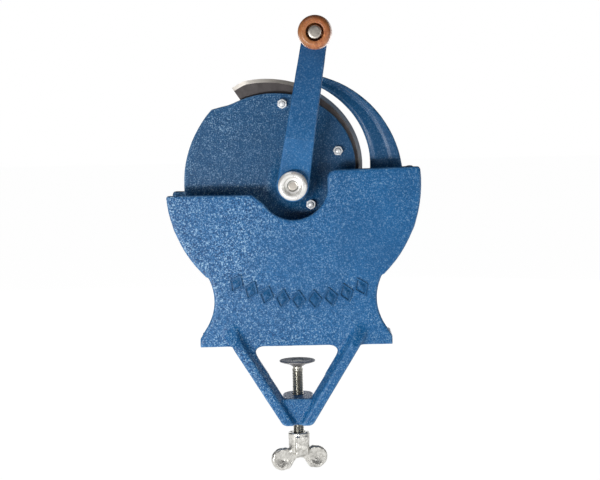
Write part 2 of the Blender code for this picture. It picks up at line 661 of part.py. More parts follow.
def clamp_pad():
    """A dished round pad that stays still while the screw's peened end turns in it."""
    bore = NECK_R + 0.4
    seat = PAD_TOP - 1.8
    profile = [(PAD_R - 0.6, PAD_TOP), (PAD_R, PAD_TOP - 0.6), (PAD_R, PAD_TOP - 1.6),
               (PAD_R - 3.0, PAD_TOP - 2.6), (8.0, -20.2), (5.8, PAD_BOTTOM), (bore, PAD_BOTTOM),
               (bore, seat), (5.2, seat), (5.2, PAD_TOP)]
    metal(turned(profile, steps=40), "clamp_pad")


def main():
    clear_scene()
    front_frame()
    rear_housing()
    throat_plate()
    feed_trough()
    housing_bolts()
    shaft_bushes()
    knife_disc()
    sickle_knife()
    drive_shaft()
    shaft_fittings()
    crank_arm()
    crank_collar()
    handle()
    clamp_screw()
    wing_handle()
    clamp_pad()


main()
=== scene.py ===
"""Looks of the hand-cranked table-clamp slicer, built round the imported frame.

Shapes are worked out in millimetres and written in metres. The frame's origin lies on the foot's sole, on the
clamp screw's axis, with +Z up and -Y to the front. The castings are distance fields on a grid, so that their
edges and inner corners are rounded as cast iron is. Turned pieces are profiles swept round their axis.
"""

import math

import bmesh
import bpy
import numpy as np
import openvdb
from mathutils import Matrix, Vector


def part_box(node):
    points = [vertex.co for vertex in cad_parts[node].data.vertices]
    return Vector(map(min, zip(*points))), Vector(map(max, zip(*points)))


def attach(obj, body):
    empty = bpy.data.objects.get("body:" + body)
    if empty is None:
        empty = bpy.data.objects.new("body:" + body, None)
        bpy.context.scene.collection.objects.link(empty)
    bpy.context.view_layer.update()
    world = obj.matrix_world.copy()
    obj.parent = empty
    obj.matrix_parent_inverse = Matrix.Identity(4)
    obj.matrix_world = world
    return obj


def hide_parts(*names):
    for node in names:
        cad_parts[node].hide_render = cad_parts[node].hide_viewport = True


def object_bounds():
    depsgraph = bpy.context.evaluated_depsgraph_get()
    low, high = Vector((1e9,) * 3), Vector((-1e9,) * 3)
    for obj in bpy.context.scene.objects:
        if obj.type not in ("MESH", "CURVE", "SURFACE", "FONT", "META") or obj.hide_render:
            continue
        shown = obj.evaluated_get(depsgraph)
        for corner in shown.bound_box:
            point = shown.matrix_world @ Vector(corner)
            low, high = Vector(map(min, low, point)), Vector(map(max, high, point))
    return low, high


MM = 0.001

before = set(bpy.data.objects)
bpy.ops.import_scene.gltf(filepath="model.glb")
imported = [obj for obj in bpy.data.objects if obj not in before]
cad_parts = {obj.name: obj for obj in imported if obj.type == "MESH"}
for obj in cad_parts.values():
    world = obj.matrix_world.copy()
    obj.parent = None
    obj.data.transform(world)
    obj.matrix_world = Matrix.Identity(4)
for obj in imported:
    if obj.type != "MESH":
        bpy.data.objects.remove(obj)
cad_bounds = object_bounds()


def span(node):
    """Lowest and highest corners of a CAD node, in millimetres."""
    low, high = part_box(node)
    return [value / MM for value in low], [value / MM for value in high]


def middle(node):
    low, high = span(node)
    return [(a + b) / 2 for a, b in zip(low, high)]


HUB = (middle("crank_collar")[0], middle("crank_collar")[2])
FRAME_LOW, FRAME_HIGH = span("front_frame")
SOLE = 0.0
SHIELD_FRONT = -24.0
SHIELD_BACK = -18.0
SHIELD_R = 115.0
FOOT_HALF = 87.0
FOOT_BACK = FRAME_HIGH[1]
RIB_FRONT = FRAME_LOW[1]
RIB_LEAN = math.radians(31.5)
RIB_TOP = (56.9, 12.6)
RIB_HALF = 7.0
LUG_BOTTOM = FRAME_LOW[2]
LUG_TOP = -48.2
LUG_HALF = 14.25
LUG_FRONT = -26.5
NOTCH_R = 31.5
DISC_R = 100.0
DISC_FRONT = 2.0
DISC_BACK = 8.0
KNIFE_FRONT = span("sickle_knife")[0][1]
KNIFE_BACK = span("sickle_knife")[1][1]
KNIFE_TIP_R = 103.0
GRIP_AXIS = (middle("grip")[0], middle("grip")[2])
ARM_TILT = math.atan2(GRIP_AXIS[0] - HUB[0], GRIP_AXIS[1] - HUB[1])
ARM_LENGTH = math.hypot(GRIP_AXIS[0] - HUB[0], GRIP_AXIS[1] - HUB[1])
ARM_END_R = 11.2
WING_TURN = math.radians(17.0)

# The rear casting and what joins it to the shield, with heights and angles about the hub.
HOUSING_FRONT = 16.0
HOUSING_BACK = 36.0
RIM_R = 112.0
PILLAR_ANGLES = (200.0, 232.0, 308.0, 340.0)
PILLAR_PCR = 109.0
BOLT_BORE = 2.8
THROAT_X = (36.0, 84.0)
THROAT_Z = (-42.0, -4.0)

# Where the disc's spiral slot and the knife begin and end, in degrees about the hub.
SLOT_START = -72.0
SLOT_MOUTH = 124.0
CRESCENT_TIP = 84.0
KNIFE_START = -58.0
KNIFE_END = 122.0

# How far the floor lies below the CAD model, in metres, and the camera's place (mm) and angles (degrees).
FLOOR_DROP = 0.0275
CAMERA_LENS = 105.3
CAMERA_PLACE = (31.6, -1593.9, 248.7)
CAMERA_YAW_PITCH_ROLL = (0.965, 5.546, -1.223)


# ---------------------------------------------------------------- distance fields

class Block:
    """A grid of points that a distance field is worked out on."""

    def __init__(self, low, high, step):
        self.step = step
        self.low = np.array(low, dtype=np.float32) - 3 * step
        counts = [math.ceil((b - a) / step) + 7 for a, b in zip(low, high)]
        axes = [self.low[i] + step * np.arange(counts[i], dtype=np.float32) for i in range(3)]
        self.x = axes[0][:, None, None]
        self.y = axes[1][None, :, None]
        self.z = axes[2][None, None, :]
        self.shape = counts


def outline_distance(u, v, points):
    """Signed distance to a closed outline, negative inside, for broadcast coordinates u and v."""
    best = None
    inside = False
    corners = list(points)
    for (u0, v0), (u1, v1) in zip(corners, corners[1:] + corners[:1]):
        du, dv = u1 - u0, v1 - v0
        if math.hypot(du, dv) < 1e-6:
            continue
        along = np.clip(((u - u0) * du + (v - v0) * dv) / (du * du + dv * dv), 0.0, 1.0)
        square = (u - u0 - along * du) ** 2 + (v - v0 - along * dv) ** 2
        best = square if best is None else np.minimum(best, square)
        if dv != 0.0:
            crosses = (v0 > v) != (v1 > v)
            inside = inside ^ (crosses & (u < u0 + (v - v0) * du / dv))
    return np.where(inside, -1.0, 1.0).astype(np.float32) * np.sqrt(best)


def crossed(a, b, radius=0.0):
    """What is in both, with its outer edge rounded."""
    if radius == 0.0:
        return np.maximum(a, b)
    u, v = a + radius, b + radius
    return np.minimum(np.maximum(u, v), 0.0) + np.hypot(np.maximum(u, 0.0), np.maximum(v, 0.0)) - radius


def merged(a, b, radius=0.0):
    """What is in either, with a fillet where they meet."""
    return -crossed(-a, -b, radius)


def without(a, b, radius=0.0):
    return crossed(a, -b, radius)


def slab(value, low, high):
    return np.abs(value - (low + high) / 2) - (high - low) / 2


def box_field(block, low, high, radius):
    flat = crossed(slab(block.x, low[0], high[0]), slab(block.y, low[1], high[1]), radius)
    return crossed(flat, slab(block.z, low[2], high[2]), radius)


def waves(block, size=17.0, height=0.12):
    """The slight unevenness of a sand casting."""
    x, y, z = block.x / size, block.y / size, block.z / size
    total = np.sin(2.3 * x + 1.1 * z + 0.7) * np.cos(1.9 * z - 0.8 * x + 0.4 * y)
    total = total + 0.6 * np.sin(3.7 * z + 2.1 * y + 1.3 * x + 2.0) + 0.4 * np.sin(5.1 * x - 4.3 * z + 0.5)
    return (height / 2 * total).astype(np.float32)


def field_mesh(name, block, field):
    """The surface of a distance field, as a smooth closed mesh."""
    reach = 3 * block.step
    values = np.broadcast_to(field, block.shape)
    grid = openvdb.FloatGrid(reach)
    grid.copyFromArray(np.ascontiguousarray(np.clip(values, -reach, reach), dtype=np.float32))
    grid.transform = openvdb.createLinearTransform(voxelSize=block.step)
    points, quads = grid.convertToQuads(isovalue=0.0)
    mesh = bpy.data.meshes.new(name)
    mesh.from_pydata(((points + block.low) * MM).tolist(), [], quads.tolist())
    shape = bmesh.new()
    shape.from_mesh(mesh)
    bmesh.ops.recalc_face_normals(shape, faces=shape.faces)
    if shape.calc_volume(signed=True) < 0:
        bmesh.ops.reverse_faces(shape, faces=shape.faces)
    shape.to_mesh(mesh)
    shape.free()
    mesh.shade_smooth()
    return add_object(name, mesh)


# ---------------------------------------------------------------- mesh helpers

def add_object(name, mesh):
    obj = bpy.data.objects.new(name, mesh)
    bpy.context.scene.collection.objects.link(obj)
    return obj


def polar(radius, degrees, centre=(0.0, 0.0)):
    turn = math.radians(degrees)
    return (centre[0] + radius * math.cos(turn), centre[1] + radius * math.sin(turn))


def arc(radius, first, last, centre=(0.0, 0.0), step=4.0):
    count = max(2, math.ceil(abs(last - first) / step) + 1)
    return [polar(radius, first + (last - first) * i / (count - 1), centre) for i in range(count)]


def mirrored(points):
    return [(-u, v) for u, v in reversed(points)]


def softened(profile, radius=0.5, closed=False, parts=4):
    """A profile with each of its corners rounded."""
    points = [Vector(p) for p in profile]
    count = len(points)
    result = []
    for i, corner in enumerate(points):
        if not closed and i in (0, count - 1):
            result.append(corner[:])
            continue
        before, after = points[i - 1], points[(i + 1) % count]
        reach = min(radius, (corner - before).length * 0.45, (corner - after).length * 0.45)
        start = corner + (before - corner).normalized() * reach
        end = corner + (after - corner).normalized() * reach
        for k in range(parts + 1):
            t = k / parts
            result.append(((1 - t) ** 2 * start + 2 * t * (1 - t) * corner + t * t * end)[:])
    return result


AXIS_TURNS = {
    "X": Matrix.Rotation(math.pi / 2, 4, "Y"),
    "Y": Matrix.Rotation(-math.pi / 2, 4, "X"),
    "Z": Matrix.Identity(4),
}


def axis_place(axis, centre):
    shift = {"X": (0.0, *centre), "Y": (centre[0], 0.0, centre[1]), "Z": (*centre, 0.0)}[axis]
    return Matrix.Translation(Vector(shift) * MM) @ AXIS_TURNS[axis]


def turned(name, profile, axis="Z", centre=(0.0, 0.0), steps=72, radius_at=None, sharp=35.0):
    """A profile of (radius, height) swept round an axis. radius_at can change a radius with the angle."""
    closed = profile[0][0] > 0.0
    shape = bmesh.new()
    rings = []
    for radius, height in profile:
        if radius == 0.0:
            rings.append([shape.verts.new((0.0, 0.0, height * MM))] * steps)
            continue
        ring = []
        for i in range(steps):
            turn = 2 * math.pi * i / steps
            r = radius_at(radius, height, turn) if radius_at else radius
            ring.append(shape.verts.new((r * MM * math.cos(turn), r * MM * math.sin(turn), height * MM)))
        rings.append(ring)
    pairs = list(zip(rings, rings[1:])) + ([(rings[-1], rings[0])] if closed else [])
    for upper, lower in pairs:
        for i in range(steps):
            k = (i + 1) % steps
            corners = []
            for corner in (upper[i], lower[i], lower[k], upper[k]):
                if corner not in corners:
                    corners.append(corner)
            if len(corners) > 2:
                shape.faces.new(corners)
    bmesh.ops.recalc_face_normals(shape, faces=shape.faces)
    return shape_object(name, shape, sharp=sharp, place=axis_place(axis, centre))


def shape_object(name, shape, smooth=True, sharp=None, place=None):
    """Make an object of a bmesh, and free it."""
    mesh = bpy.data.meshes.new(name)
    shape.to_mesh(mesh)
    shape.free()
    if place is not None:
        mesh.transform(place)
    if smooth:
        mesh.shade_smooth()
    if sharp is not None:
        mesh.set_sharp_from_angle(angle=math.radians(sharp))
    return add_object(name, mesh)


def cut_out(piece, cutter):
    """Take the cutter's body out of a piece, and drop the cutter."""
    modifier = piece.modifiers.new("cut", "BOOLEAN")
    modifier.object = cutter
    modifier.operation = "DIFFERENCE"
    bpy.context.view_layer.update()
    graph = bpy.context.evaluated_depsgraph_get()
    mesh = bpy.data.meshes.new_from_object(piece.evaluated_get(graph))
    piece.modifiers.clear()
    piece.data = mesh
    bpy.data.objects.remove(cutter, do_unlink=True)


def joined(name, *pieces):
    """Several closed bodies in one object."""
    shape = bmesh.new()
    for piece in pieces:
        shape.from_mesh(piece.data)
        bpy.data.objects.remove(piece, do_unlink=True)
    return shape_object(name, shape, smooth=False, sharp=35.0)


def dress(piece, body, material, slot, *replaced):
    """Give a piece its material and its body, and hide the CAD nodes that it stands for."""
    piece.data.materials.clear()
    for one in (material if isinstance(material, (list, tuple)) else [material]):
        piece.data.materials.append(one)
    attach(piece, body)
    if replaced:
        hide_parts(*replaced)
    return piece


# ---------------------------------------------------------------- materials

class Nodes:
    """A material's node tree with short ways to add to it."""

    def __init__(self, name):
        self.material = bpy.data.materials.new(name)
        self.material.use_nodes = True
        self.tree = self.material.node_tree
        self.shader = self.tree.nodes["Principled BSDF"]
        self.place = self.tree.nodes.new("ShaderNodeTexCoord").outputs["Object"]

    def add(self, kind, inputs=None, **settings):
        node = self.tree.nodes.new(kind)
        for key, value in settings.items():
            setattr(node, key, value)
        for key, value in (inputs or {}).items():
            self.feed(node.inputs[key], value)
        return node

    def feed(self, socket, value):
        if isinstance(value, bpy.types.NodeSocket):
            self.tree.links.new(value, socket)
        else:
            socket.default_value = value

    def set(self, **values):
        for key, value in values.items():
            self.feed(self.shader.inputs[key.replace("_", " ")], value)

    def stretched(self, scale, turn=(0.0, 0.0, 0.0)):
        node = self.add("ShaderNodeMapping", {"Vector": self.place, "Scale": scale, "Rotation": turn})
        return node.outputs[0]

    def noise(self, scale, detail=2.0, roughness=0.5, distortion=0.0, vector=None):
        return self.add("ShaderNodeTexNoise", {
            "Vector": vector or self.place, "Scale": scale, "Detail": detail, "Roughness": roughness,
            "Distortion": distortion}).outputs["Fac"]

    def ramp(self, value, low, high, first=0.0, last=1.0):
        return self.add("ShaderNodeMapRange", {"Value": value, "From Min": low, "From Max": high,
                                               "To Min": first, "To Max": last}, clamp=True).outputs["Result"]

    def mix(self, factor, first, second):
        node = self.add("ShaderNodeMix", data_type="RGBA")
        self.feed(node.inputs[0], factor)
        self.feed(node.inputs[6], first)
        self.feed(node.inputs[7], second)
        return node.outputs[2]

    def math(self, operation, first, second=0.0):
        node = self.add("ShaderNodeMath", operation=operation)
        self.feed(node.inputs[0], first)
        self.feed(node.inputs[1], second)
        return node.outputs[0]

    def bump(self, height, distance, strength=1.0, under=None):
        inputs = {"Height": height, "Distance": distance, "Strength": strength}
        if under is not None:
            inputs["Normal"] = under
        return self.add("ShaderNodeBump", inputs).outputs[0]

    def edges(self, low, high):
        """From 0 to 1 on outward edges."""
        return self.ramp(self.add("ShaderNodeNewGeometry").outputs["Pointiness"], low, high)


def rgb(red, green, blue):
    """A linear colour from an sRGB one of 0 to 255."""
    def linear(value):
        value = value / 255
        return value / 12.92 if value <= 0.04045 else ((value + 0.055) / 1.055) ** 2.4

    return (linear(red), linear(green), linear(blue), 1.0)


def enamel(name, tone=1.0, speckle=1.0, fade=0.0, edge_wear_and_highlight=True, painted_shade=None):
    """Blue hammered enamel on cast iron under a gloss: a fine ripple painted with pale glints as highlights
    and dark hollows as shade.

    Fade thins the painted glints and shade towards +X, away from the key light. The two heights give painted
    shade that darkens the paint between them. Outward edges are painted paler, partly as worn paint and
    partly as a painted highlight.
    """
    n = Nodes(name)
    fine = n.noise(900.0, detail=1.5, roughness=0.6, distortion=0.6)
    coarse = n.noise(300.0, detail=3.0, roughness=0.6)
    grain = n.math("ADD", n.math("MULTIPLY", fine, 0.8), n.math("MULTIPLY", coarse, 0.2))
    patch = n.ramp(n.noise(16.0, detail=2.0), 0.35, 0.65, 0.6, 1.0)
    if fade:
        across = n.add("ShaderNodeSeparateXYZ", {"Vector": n.place}).outputs["X"]
        patch = n.math("MULTIPLY", patch, n.ramp(across, -0.06, 0.06, 1.0, 1.0 - fade))
    # Pale glints painted into the colour as highlights; the fade thins them towards +X.
    painted_glint = n.math("MULTIPLY", n.ramp(grain, 0.525, 0.66), n.math("MULTIPLY", patch, speckle))
    tone_low, tone_high = (rgb(*(value * tone for value in base)) for base in ((8, 82, 133), (16, 92, 146)))
    colour = n.mix(n.ramp(n.noise(30.0, detail=3.0), 0.3, 0.7), tone_low, tone_high)
    # Dark hollows painted into the ripple as shade, thinned towards +X in the same way as the glints.
    hollow = n.math("MULTIPLY", n.ramp(grain, 0.49, 0.4), n.math("MULTIPLY", patch, speckle))
    colour = n.mix(hollow, colour, rgb(6 * tone, 44 * tone, 86 * tone))
    colour = n.mix(painted_glint, colour, rgb(158, 190, 212))
    # Painted shade: the paint darkens towards the upper of the two heights.
    if painted_shade:
        height = n.add("ShaderNodeSeparateXYZ", {"Vector": n.place}).outputs["Z"]
        colour = n.mix(n.ramp(height, painted_shade[0], painted_shade[1], 0.0, 0.55), colour, rgb(6, 40, 78))
    # Outward edges painted paler: partly worn paint, partly a painted highlight.
    if edge_wear_and_highlight:
        edges = n.edges(0.515, 0.545)
        rubbed = n.ramp(n.noise(110.0, detail=4.0), 0.38, 0.6, 0.05, 0.6)
        colour = n.mix(n.math("MULTIPLY", edges, rubbed), colour, rgb(100, 142, 182))
    relief = n.bump(coarse, 0.0007, 0.3)
    relief = n.bump(fine, 0.0006, 0.45 * speckle, relief)
    n.set(Base_Color=colour, Roughness=0.42, Metallic=0.0, Specular_IOR_Level=0.22, Normal=relief)
    n.set(Coat_Weight=0.08, Coat_Roughness=0.2)
    return n.material


def steel(name, colour, roughness, brushed=(1.0, 1.0, 1.0), scale=900.0, depth=0.00004, stain=0.25,
          metallic=1.0):
    """Bare metal with fine tool marks and a little tarnish.

    Brushed stretches the marks along an axis, and depth is in metres.
    """
    n = Nodes(name)
    marks = n.noise(scale, detail=3.0, vector=n.stretched(brushed))
    tarnish = n.ramp(n.noise(120.0, detail=4.0, roughness=0.6), 0.45, 0.75, 0.0, stain)
    dark = tuple(value * 0.35 for value in colour[:3]) + (1.0,)
    pale = tuple(min(1.0, value * 1.12) for value in colour[:3]) + (1.0,)
    n.set(Base_Color=n.mix(tarnish, n.mix(marks, colour, pale), dark))
    n.set(Roughness=n.ramp(marks, 0.3, 0.7, roughness * 0.8, roughness * 1.25), Metallic=metallic)
    n.set(Normal=n.bump(marks, depth, 0.5))
    return n.material


def cast_metal(name):
    """The wing: pale cast metal, faintly mottled and rubbed bright on its high places."""
    n = Nodes(name)
    pits = n.noise(420.0, detail=3.0, roughness=0.6)
    lumps = n.noise(150.0, detail=2.0)
    colour = n.mix(n.ramp(pits, 0.36, 0.6), rgb(178, 176, 170), rgb(216, 214, 208))
    colour = n.mix(n.ramp(lumps, 0.5, 0.7, 0.0, 0.55), colour, rgb(136, 134, 129))
    colour = n.mix(n.edges(0.52, 0.58), colour, rgb(242, 240, 234))
    relief = n.bump(lumps, 0.0008, 0.35)
    n.set(Base_Color=colour, Metallic=0.85, Roughness=n.ramp(pits, 0.3, 0.7, 0.42, 0.28))
    n.set(Normal=n.bump(pits, 0.00015, 0.4, relief))
    return n.material


def wood(name):
    """Stained and varnished beech, with its grain along the grip."""
    n = Nodes(name)
    fibre = n.noise(330.0, detail=5.0, roughness=0.65, vector=n.stretched((1.0, 0.08, 1.0)))
    flecks = n.noise(900.0, detail=2.0, vector=n.stretched((1.0, 0.12, 1.0)))
    rings = n.add("ShaderNodeTexWave", {
        "Vector": n.stretched((1.0, 0.06, 1.0), (0.12, 0.5, 0.2)), "Scale": 70.0, "Distortion": 6.0,
        "Detail": 3.0, "Detail Scale": 1.6}, wave_type="BANDS", bands_direction="X").outputs["Fac"]
    colour = n.mix(n.ramp(fibre, 0.32, 0.68), rgb(122, 66, 34), rgb(184, 116, 68))
    colour = n.mix(n.ramp(rings, 0.2, 0.9, 0.0, 0.6), colour, rgb(150, 80, 40))
    colour = n.mix(n.ramp(flecks, 0.6, 0.72, 0.0, 0.8), colour, rgb(78, 40, 22))
    colour = n.mix(n.ramp(n.noise(60.0), 0.4, 0.65, 0.0, 0.45), colour, rgb(150, 104, 54))
    n.set(Base_Color=colour, Roughness=n.ramp(fibre, 0.3, 0.7, 0.36, 0.52), Normal=n.bump(fibre, 0.0002, 0.5))
    n.set(Coat_Weight=0.2, Coat_Roughness=0.25)
    return n.material


MATERIALS = {
    "shield": enamel("enamel_shield", fade=0.6),
    "disc": enamel("enamel_disc", 0.82, 0.7, fade=0.7),
    # The arm carries painted shade towards the grip at its top.
    "arm": enamel("enamel_arm", 0.96, 0.3, painted_shade=(0.18, 0.27)),
    # The rear casting's enamel is painted darker as shade, for the shadow it lies in behind the disc.
    "rear": enamel("enamel_rear", 0.72, 0.7),
    # The ornament's enamel is painted darker than the shield as shade, to outline its relief.
    "ornament": enamel("enamel_ornament", 0.9, 0.4, fade=0.5, edge_wear_and_highlight=False),
    "blade": steel("blade_dark", rgb(88, 84, 84), 0.4, (1.0, 1.0, 0.15), 700.0, stain=0.4),
    "ground": steel("blade_ground", rgb(226, 220, 212), 0.34, scale=1400.0, stain=0.05, metallic=0.95),
    "bright": steel("bright_turned", rgb(225, 224, 220), 0.24, (1.0, 0.1, 1.0), 1500.0, stain=0.15),
    "collar": steel("collar_face", rgb(214, 213, 210), 0.3, scale=200.0, depth=0.00001, stain=0.0,
                    metallic=0.55),
    "nut": steel("small_nut", rgb(226, 228, 230), 0.32, scale=1200.0, depth=0.00001, stain=0.05,
                 metallic=0.3),
    "pin": steel("pin_end", rgb(176, 170, 162), 0.42, scale=1100.0, depth=0.0001, stain=0.5),
    "dull": steel("dull_steel", rgb(165, 163, 160), 0.38, (1.0, 1.0, 0.2), 800.0, 0.00008, stain=0.5),
    "pad": steel("pad_steel", rgb(150, 148, 148), 0.5, (1.0, 1.0, 0.2), 800.0, 0.00008, stain=0.5),
    "thread": steel("thread_steel", rgb(160, 158, 149), 0.33, (1.0, 1.0, 0.2), 800.0, 0.00008, stain=0.5),
    "bronze": steel("bronze", rgb(196, 150, 92), 0.35, (1.0, 0.2, 1.0), 900.0, stain=0.3),
    "wing": cast_metal("wing_metal"),
    "wood": wood("turned_wood"),
}


# ---------------------------------------------------------------- front casting

def shield_outline():
    """From the notch round the right side to the foot, and back up the left side, about the hub."""
    left_top, right_top = -8.0, 14.0
    right_start = math.degrees(math.asin(right_top / SHIELD_R))
    left_end = 180.0 - math.degrees(math.asin(left_top / SHIELD_R))
    waist = arc(46.0, 153.0, 217.0, (119.5, -103.5), 5.0)
    foot_corner = arc(4.5, 40.0, 0.0, (FOOT_HALF - 4.5, SOLE - HUB[1] + 6.5), 10.0)
    right_side = waist + foot_corner + [(FOOT_HALF, SOLE - HUB[1])]
    points = arc(NOTCH_R, 212.0, 347.0)
    points += arc(8.0, 180.0, 95.0, (38.7, right_top - 9.0), 8.0)
    points += arc(2.5, 85.0, right_start, (SHIELD_R - 3.4, right_top - 2.2), 20.0)
    points += arc(SHIELD_R, right_start - 1.0, -46.0)
    points += right_side + mirrored(right_side)
    points += arc(SHIELD_R, 226.0, left_end - 0.5)
    points += arc(2.5, 175.0, 95.0, (-SHIELD_R + 2.9, left_top - 2.4), 20.0)
    points += arc(9.0, 88.0, 42.0, (-40.0, left_top - 9.3), 8.0)
    return points


def rib_sides(block):
    """How far points lie along the right rib from the centre of its round top, and outward from its axis."""
    u, v = np.abs(block.x) - RIB_TOP[0], block.z - RIB_TOP[1]
    along = (math.sin(RIB_LEAN), math.cos(RIB_LEAN))
    return u * along[0] + v * along[1], u * along[1] - v * along[0]


def rib_field(block):
    """Both ribs. Their inner sides slope, and their round tops sink into the shield."""
    run, side = rib_sides(block)
    front = RIB_FRONT + 9.0 * np.clip((run + 13.0) / 18.0, 0.0, 1.0) ** 1.2
    capsule = np.where(run > 0.0, np.hypot(run, side), np.abs(side)) - RIB_HALF
    slope = 5.5 / 14.0
    inner = (-side - (1.5 + slope * (block.y - RIB_FRONT))) / math.hypot(1.0, slope)
    rib = crossed(capsule, inner, 0.8)
    rib = crossed(rib, np.maximum(front - block.y, block.y + 19.0), 1.8)
    return crossed(rib, LUG_BOTTOM - block.z, 3.0)


def lug_field(block):
    """The boss that the clamp screw turns in, kept inside the V of the ribs."""
    outline = arc(LUG_HALF, 0.0, 180.0, (0.0, 5.0), 6.0) + [(-LUG_HALF, LUG_FRONT), (LUG_HALF, LUG_FRONT)]
    lug = crossed(outline_distance(block.x, block.y, outline), slab(block.z, LUG_BOTTOM + 0.4, LUG_TOP), 2.0)
    return crossed(lug, rib_sides(block)[1] - RIB_HALF + 0.3, 3.0)


def fillet_field(block):
    """The inner corner between the shield's back and the foot's top."""
    corner = (SHIELD_BACK + 5.0, SOLE + 13.0)
    square = np.maximum(np.maximum(block.y - corner[0], SHIELD_BACK - 1.0 - block.y),
                        np.maximum(block.z - corner[1], SOLE + 7.0 - block.z))
    return np.maximum(square, 5.0 - np.hypot(block.y - corner[0], block.z - corner[1]))


def front_casting():
    """Shield, foot, ribs and lug in one casting, with pillars behind that the rear casting is bolted to."""
    step = 1.05
    block = Block((-SHIELD_R - 1, RIB_FRONT, LUG_BOTTOM), (SHIELD_R + 1, FOOT_BACK, HUB[1] + 15.0), step)
    x, y, z = block.x, block.y, block.z
    run, side = rib_sides(block)
    outline = outline_distance(x, z - HUB[1], shield_outline())
    rib_core = np.where(run > 0.0, np.hypot(run, side), np.abs(side)) - RIB_HALF + 1.5
    rib_core = np.maximum(rib_core, -25.0 - z)
    flat = np.where(side < 0.0, merged(outline, rib_core, 12.0), np.minimum(outline, rib_core))
    shield = crossed(flat, slab(y, SHIELD_FRONT, SHIELD_BACK), 2.3)
    foot = box_field(block, (-FOOT_HALF, SHIELD_FRONT + 3.0, SOLE), (FOOT_HALF, FOOT_BACK, SOLE + 8.0), 2.0)
    body = merged(shield, crossed(foot, SHIELD_BACK - 2.0 - y))
    body = merged(body, np.maximum(fillet_field(block), np.abs(x) - FOOT_HALF + 2.0))
    hanger = merged(rib_field(block), lug_field(block), 1.5)
    body = merged(body, hanger, 2.5)
    for turn in PILLAR_ANGLES:
        px, pz = polar(PILLAR_PCR, turn, HUB)
        radius = 4.3 + 0.9 * np.clip((HOUSING_FRONT - y) / 34.0, 0.0, 1.0)
        pillar = np.maximum(np.hypot(x - px, z - pz) - radius, slab(y, -20.0, HOUSING_FRONT - 0.4))
        body = merged(body, pillar, 2.5)
    body = without(body, np.maximum(np.hypot(x, y) - 5.4, slab(z, -80.0, -40.0)), 0.8)
    body = body + waves(block)
    for turn in PILLAR_ANGLES:
        px, pz = polar(PILLAR_PCR, turn, HUB)
        body = without(body, np.maximum(np.hypot(x - px, z - pz) - BOLT_BORE, 0.5 - y))
    piece = field_mesh("shield_casting", block, body)
    dress(piece, "frame", MATERIALS["shield"], "blue_enamel", "front_frame")


def shield_ornament():
    """A row of plain framed diamond points on an arc across the shield."""
    centre = (8.0, HUB[1] + 22.0)
    count, reach = 9, 126.0
    first, last = -119.0, -66.0
    bosses = []
    for i in range(count):
        turn = first + (last - first) * i / (count - 1)
        tilt = math.radians(turn + 90.0)
        place = polar(reach, turn, centre)
        bosses.append(diamond_boss(place, tilt, 6.9, 9.6))
    dress(joined("shield_ornament", *bosses), "frame", MATERIALS["ornament"], "blue_enamel")


def diamond_boss(place, tilt, half_width, half_height):
    """A low four-sided point inside a raised frame, standing on the shield's front."""
    outline = softened(((half_width, 0.0), (0.0, half_height), (-half_width, 0.0), (0.0, -half_height)), 1.2,
                       closed=True, parts=3)
    levels = ((1.0, 0.6), (1.0, -1.2), (0.96, -1.6), (0.80, -1.6), (0.75, -1.2), (0.72, -0.2), (0.60, -0.2),
              (0.20, -2.1), (0.08, -2.3))
    shape = bmesh.new()
    rings = []
    for scale, out in levels:
        ring = []
        for u, v in outline:
            across, up = u * scale, v * scale
            x = place[0] + across * math.cos(tilt) - up * math.sin(tilt)
            z = place[1] + across * math.sin(tilt) + up * math.cos(tilt)
            ring.append(shape.verts.new((x * MM, (SHIELD_FRONT + out) * MM, z * MM)))
        rings.append(ring)
    for lower, upper in zip(rings, rings[1:]):
        for k in range(len(outline)):
            shape.faces.new((lower[k - 1], lower[k], upper[k], upper[k - 1]))
    shape.faces.new(rings[0])
    shape.faces.new(rings[-1])
    bmesh.ops.recalc_face_normals(shape, faces=shape.faces)
    return shape_object("boss", shape)


# ---------------------------------------------------------------- rear casting

